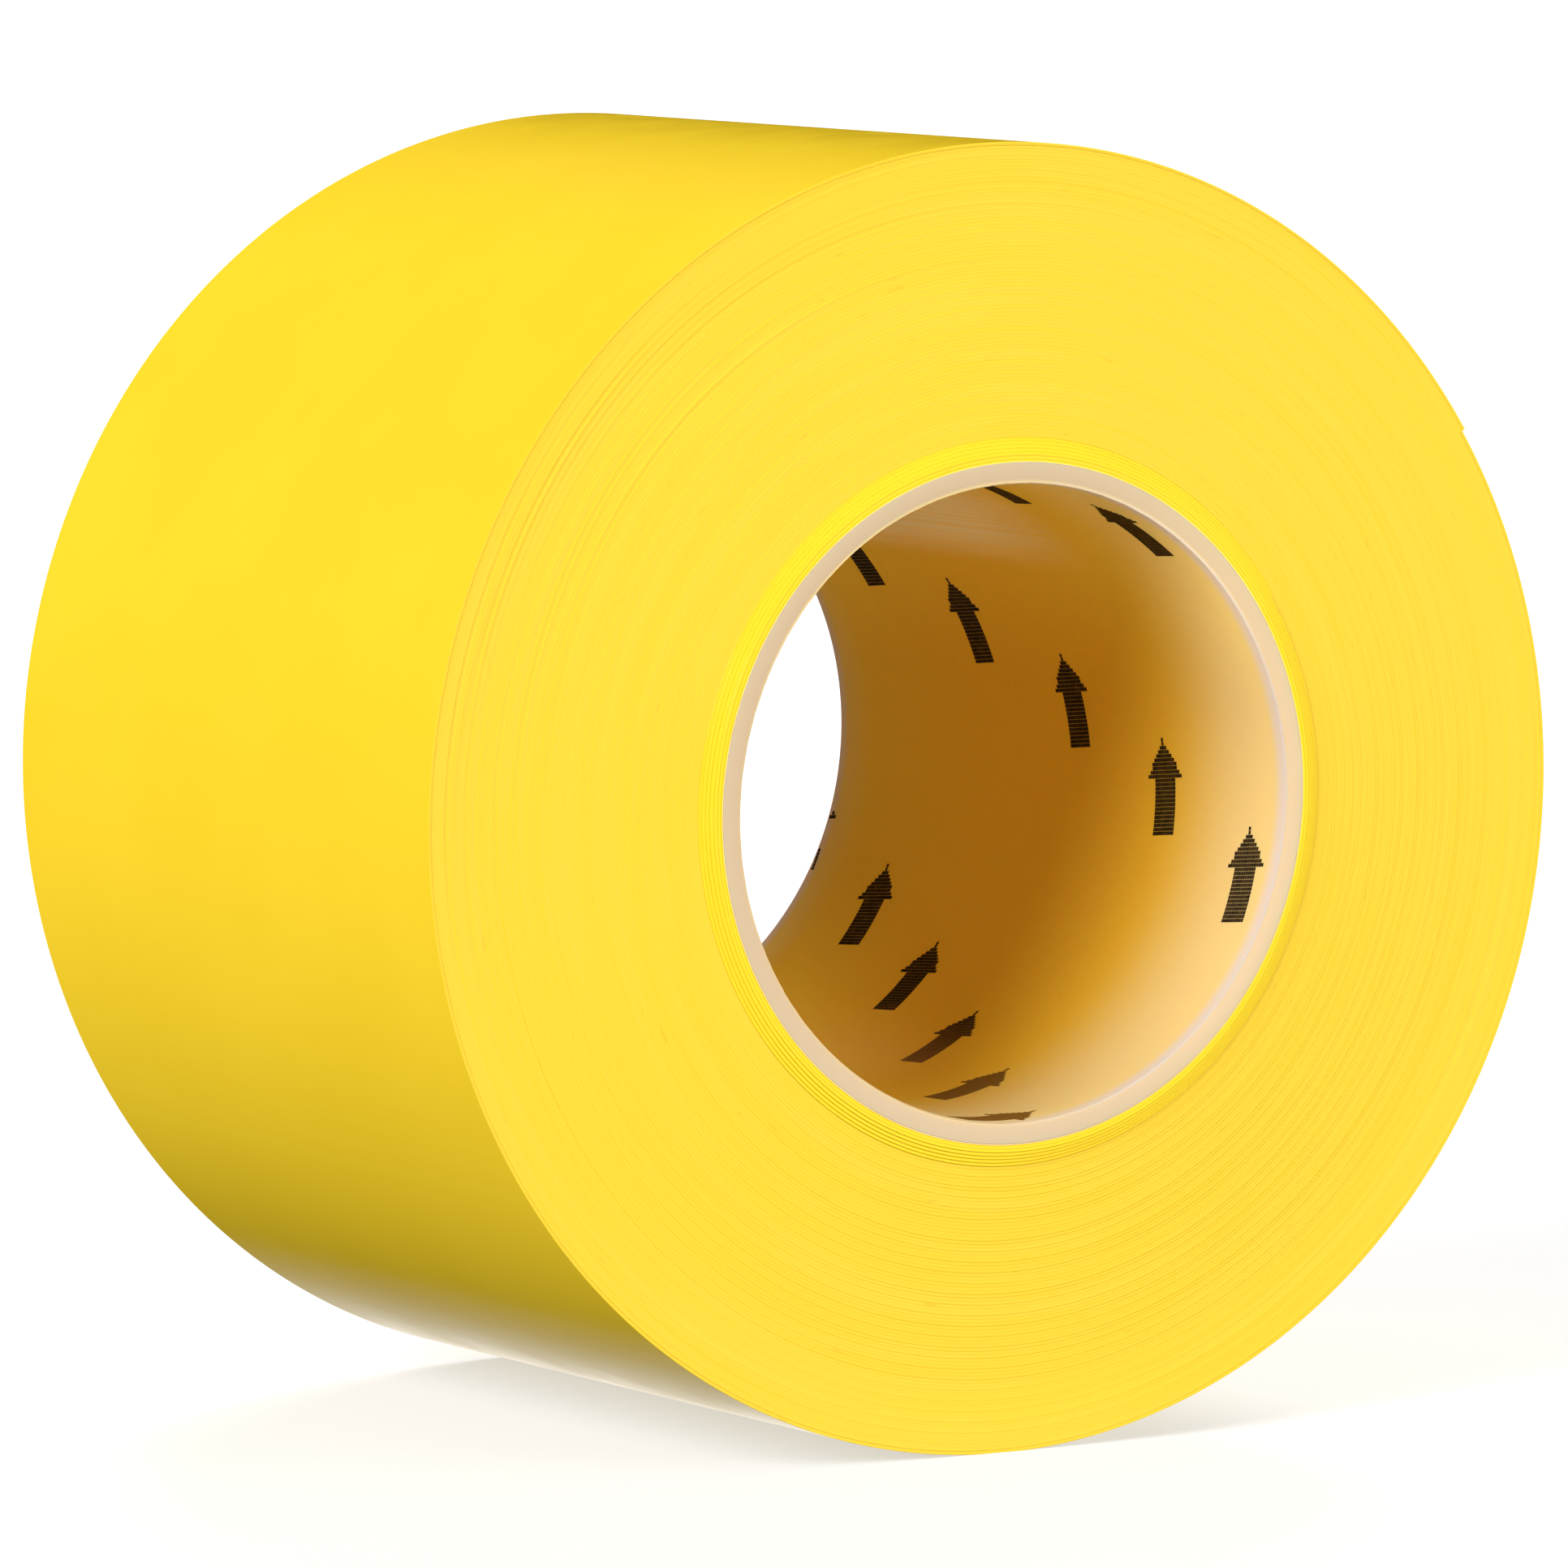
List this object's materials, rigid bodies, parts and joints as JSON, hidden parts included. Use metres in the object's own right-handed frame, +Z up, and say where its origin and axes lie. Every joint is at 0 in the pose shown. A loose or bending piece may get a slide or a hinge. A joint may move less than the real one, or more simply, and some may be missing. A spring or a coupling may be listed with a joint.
{
  "type": "adhesive tape roll",
  "caption": "Wide roll of glossy plastic marking tape wound on a plain plastic core, its wraps telescoped slightly towards the front, with a free end that peels off.",
  "frame": {"origin": "on the bore's axis, midway between the foremost and the rearmost edge of the roll", "axes": "+Y along the bore's axis, from the front face, which is coned out, to the back face; +Z up, with the roll standing on its rim; the tape's cut end is on the +X side, above the middle"},
  "size_m": [0.1566, 0.105, 0.1568],
  "materials": {
    "core_plastic": "milky, slightly translucent extruded plastic",
    "tape_backing": "smooth satin yellow film",
    "tape_winding": "cut edges of tightly wound yellow film, with fine concentric lines",
    "tape_adhesive": "amber, tacky, semi-gloss"
  },
  "bodies": {
    "roll": {"core_tube": "core_plastic", "core_bond_adhesive": "tape_adhesive", "inner_wraps": "tape_winding", "main_wraps": "tape_winding", "outer_wrap_backing": "tape_backing", "outer_wrap_adhesive": "tape_adhesive"},
    "tail_1": {"tail_backing_1": "tape_backing", "tail_adhesive_1": "tape_adhesive"},
    "tail_2": {"tail_backing_2": "tape_backing", "tail_adhesive_2": "tape_adhesive"},
    "tail_3": {"tail_backing_3": "tape_backing", "tail_adhesive_3": "tape_adhesive"},
    "tail_4": {"tail_backing_4": "tape_backing", "tail_adhesive_4": "tape_adhesive"},
    "tail_5": {"tail_backing_5": "tape_backing", "tail_adhesive_5": "tape_adhesive"},
    "tail_6": {"tail_backing_6": "tape_backing", "tail_adhesive_6": "tape_adhesive"}
  },
  "joints": [
    {"name": "tail_peel", "type": "hinge", "parent": "roll", "child": "tail_1", "pos_m": [-0.00343, 0, 0.0785], "axis": [0, -1, 0], "range_deg": [0, 30]},
    {"name": "tail_curl_2", "type": "hinge", "parent": "tail_1", "child": "tail_2", "pos_m": [0.01026, 0, 0.07791], "axis": [0, -1, 0], "range_deg": [0, 18]},
    {"name": "tail_curl_3", "type": "hinge", "parent": "tail_2", "child": "tail_3", "pos_m": [0.02363, 0, 0.07496], "axis": [0, -1, 0], "range_deg": [0, 18]},
    {"name": "tail_curl_4", "type": "hinge", "parent": "tail_3", "child": "tail_4", "pos_m": [0.0363, 0, 0.06973], "axis": [0, -1, 0], "range_deg": [0, 18]},
    {"name": "tail_curl_5", "type": "hinge", "parent": "tail_4", "child": "tail_5", "pos_m": [0.04786, 0, 0.06237], "axis": [0, -1, 0], "range_deg": [0, 18]},
    {"name": "tail_curl_6", "type": "hinge", "parent": "tail_5", "child": "tail_6", "pos_m": [0.05797, 0, 0.05312], "axis": [0, -1, 0], "range_deg": [0, 18]}
  ],
  "couplings": [
    {"joint": "tail_curl_2", "follows": "tail_peel", "ratio": 0.6},
    {"joint": "tail_curl_3", "follows": "tail_peel", "ratio": 0.6},
    {"joint": "tail_curl_4", "follows": "tail_peel", "ratio": 0.6},
    {"joint": "tail_curl_5", "follows": "tail_peel", "ratio": 0.6},
    {"joint": "tail_curl_6", "follows": "tail_peel", "ratio": 0.6}
  ]
}
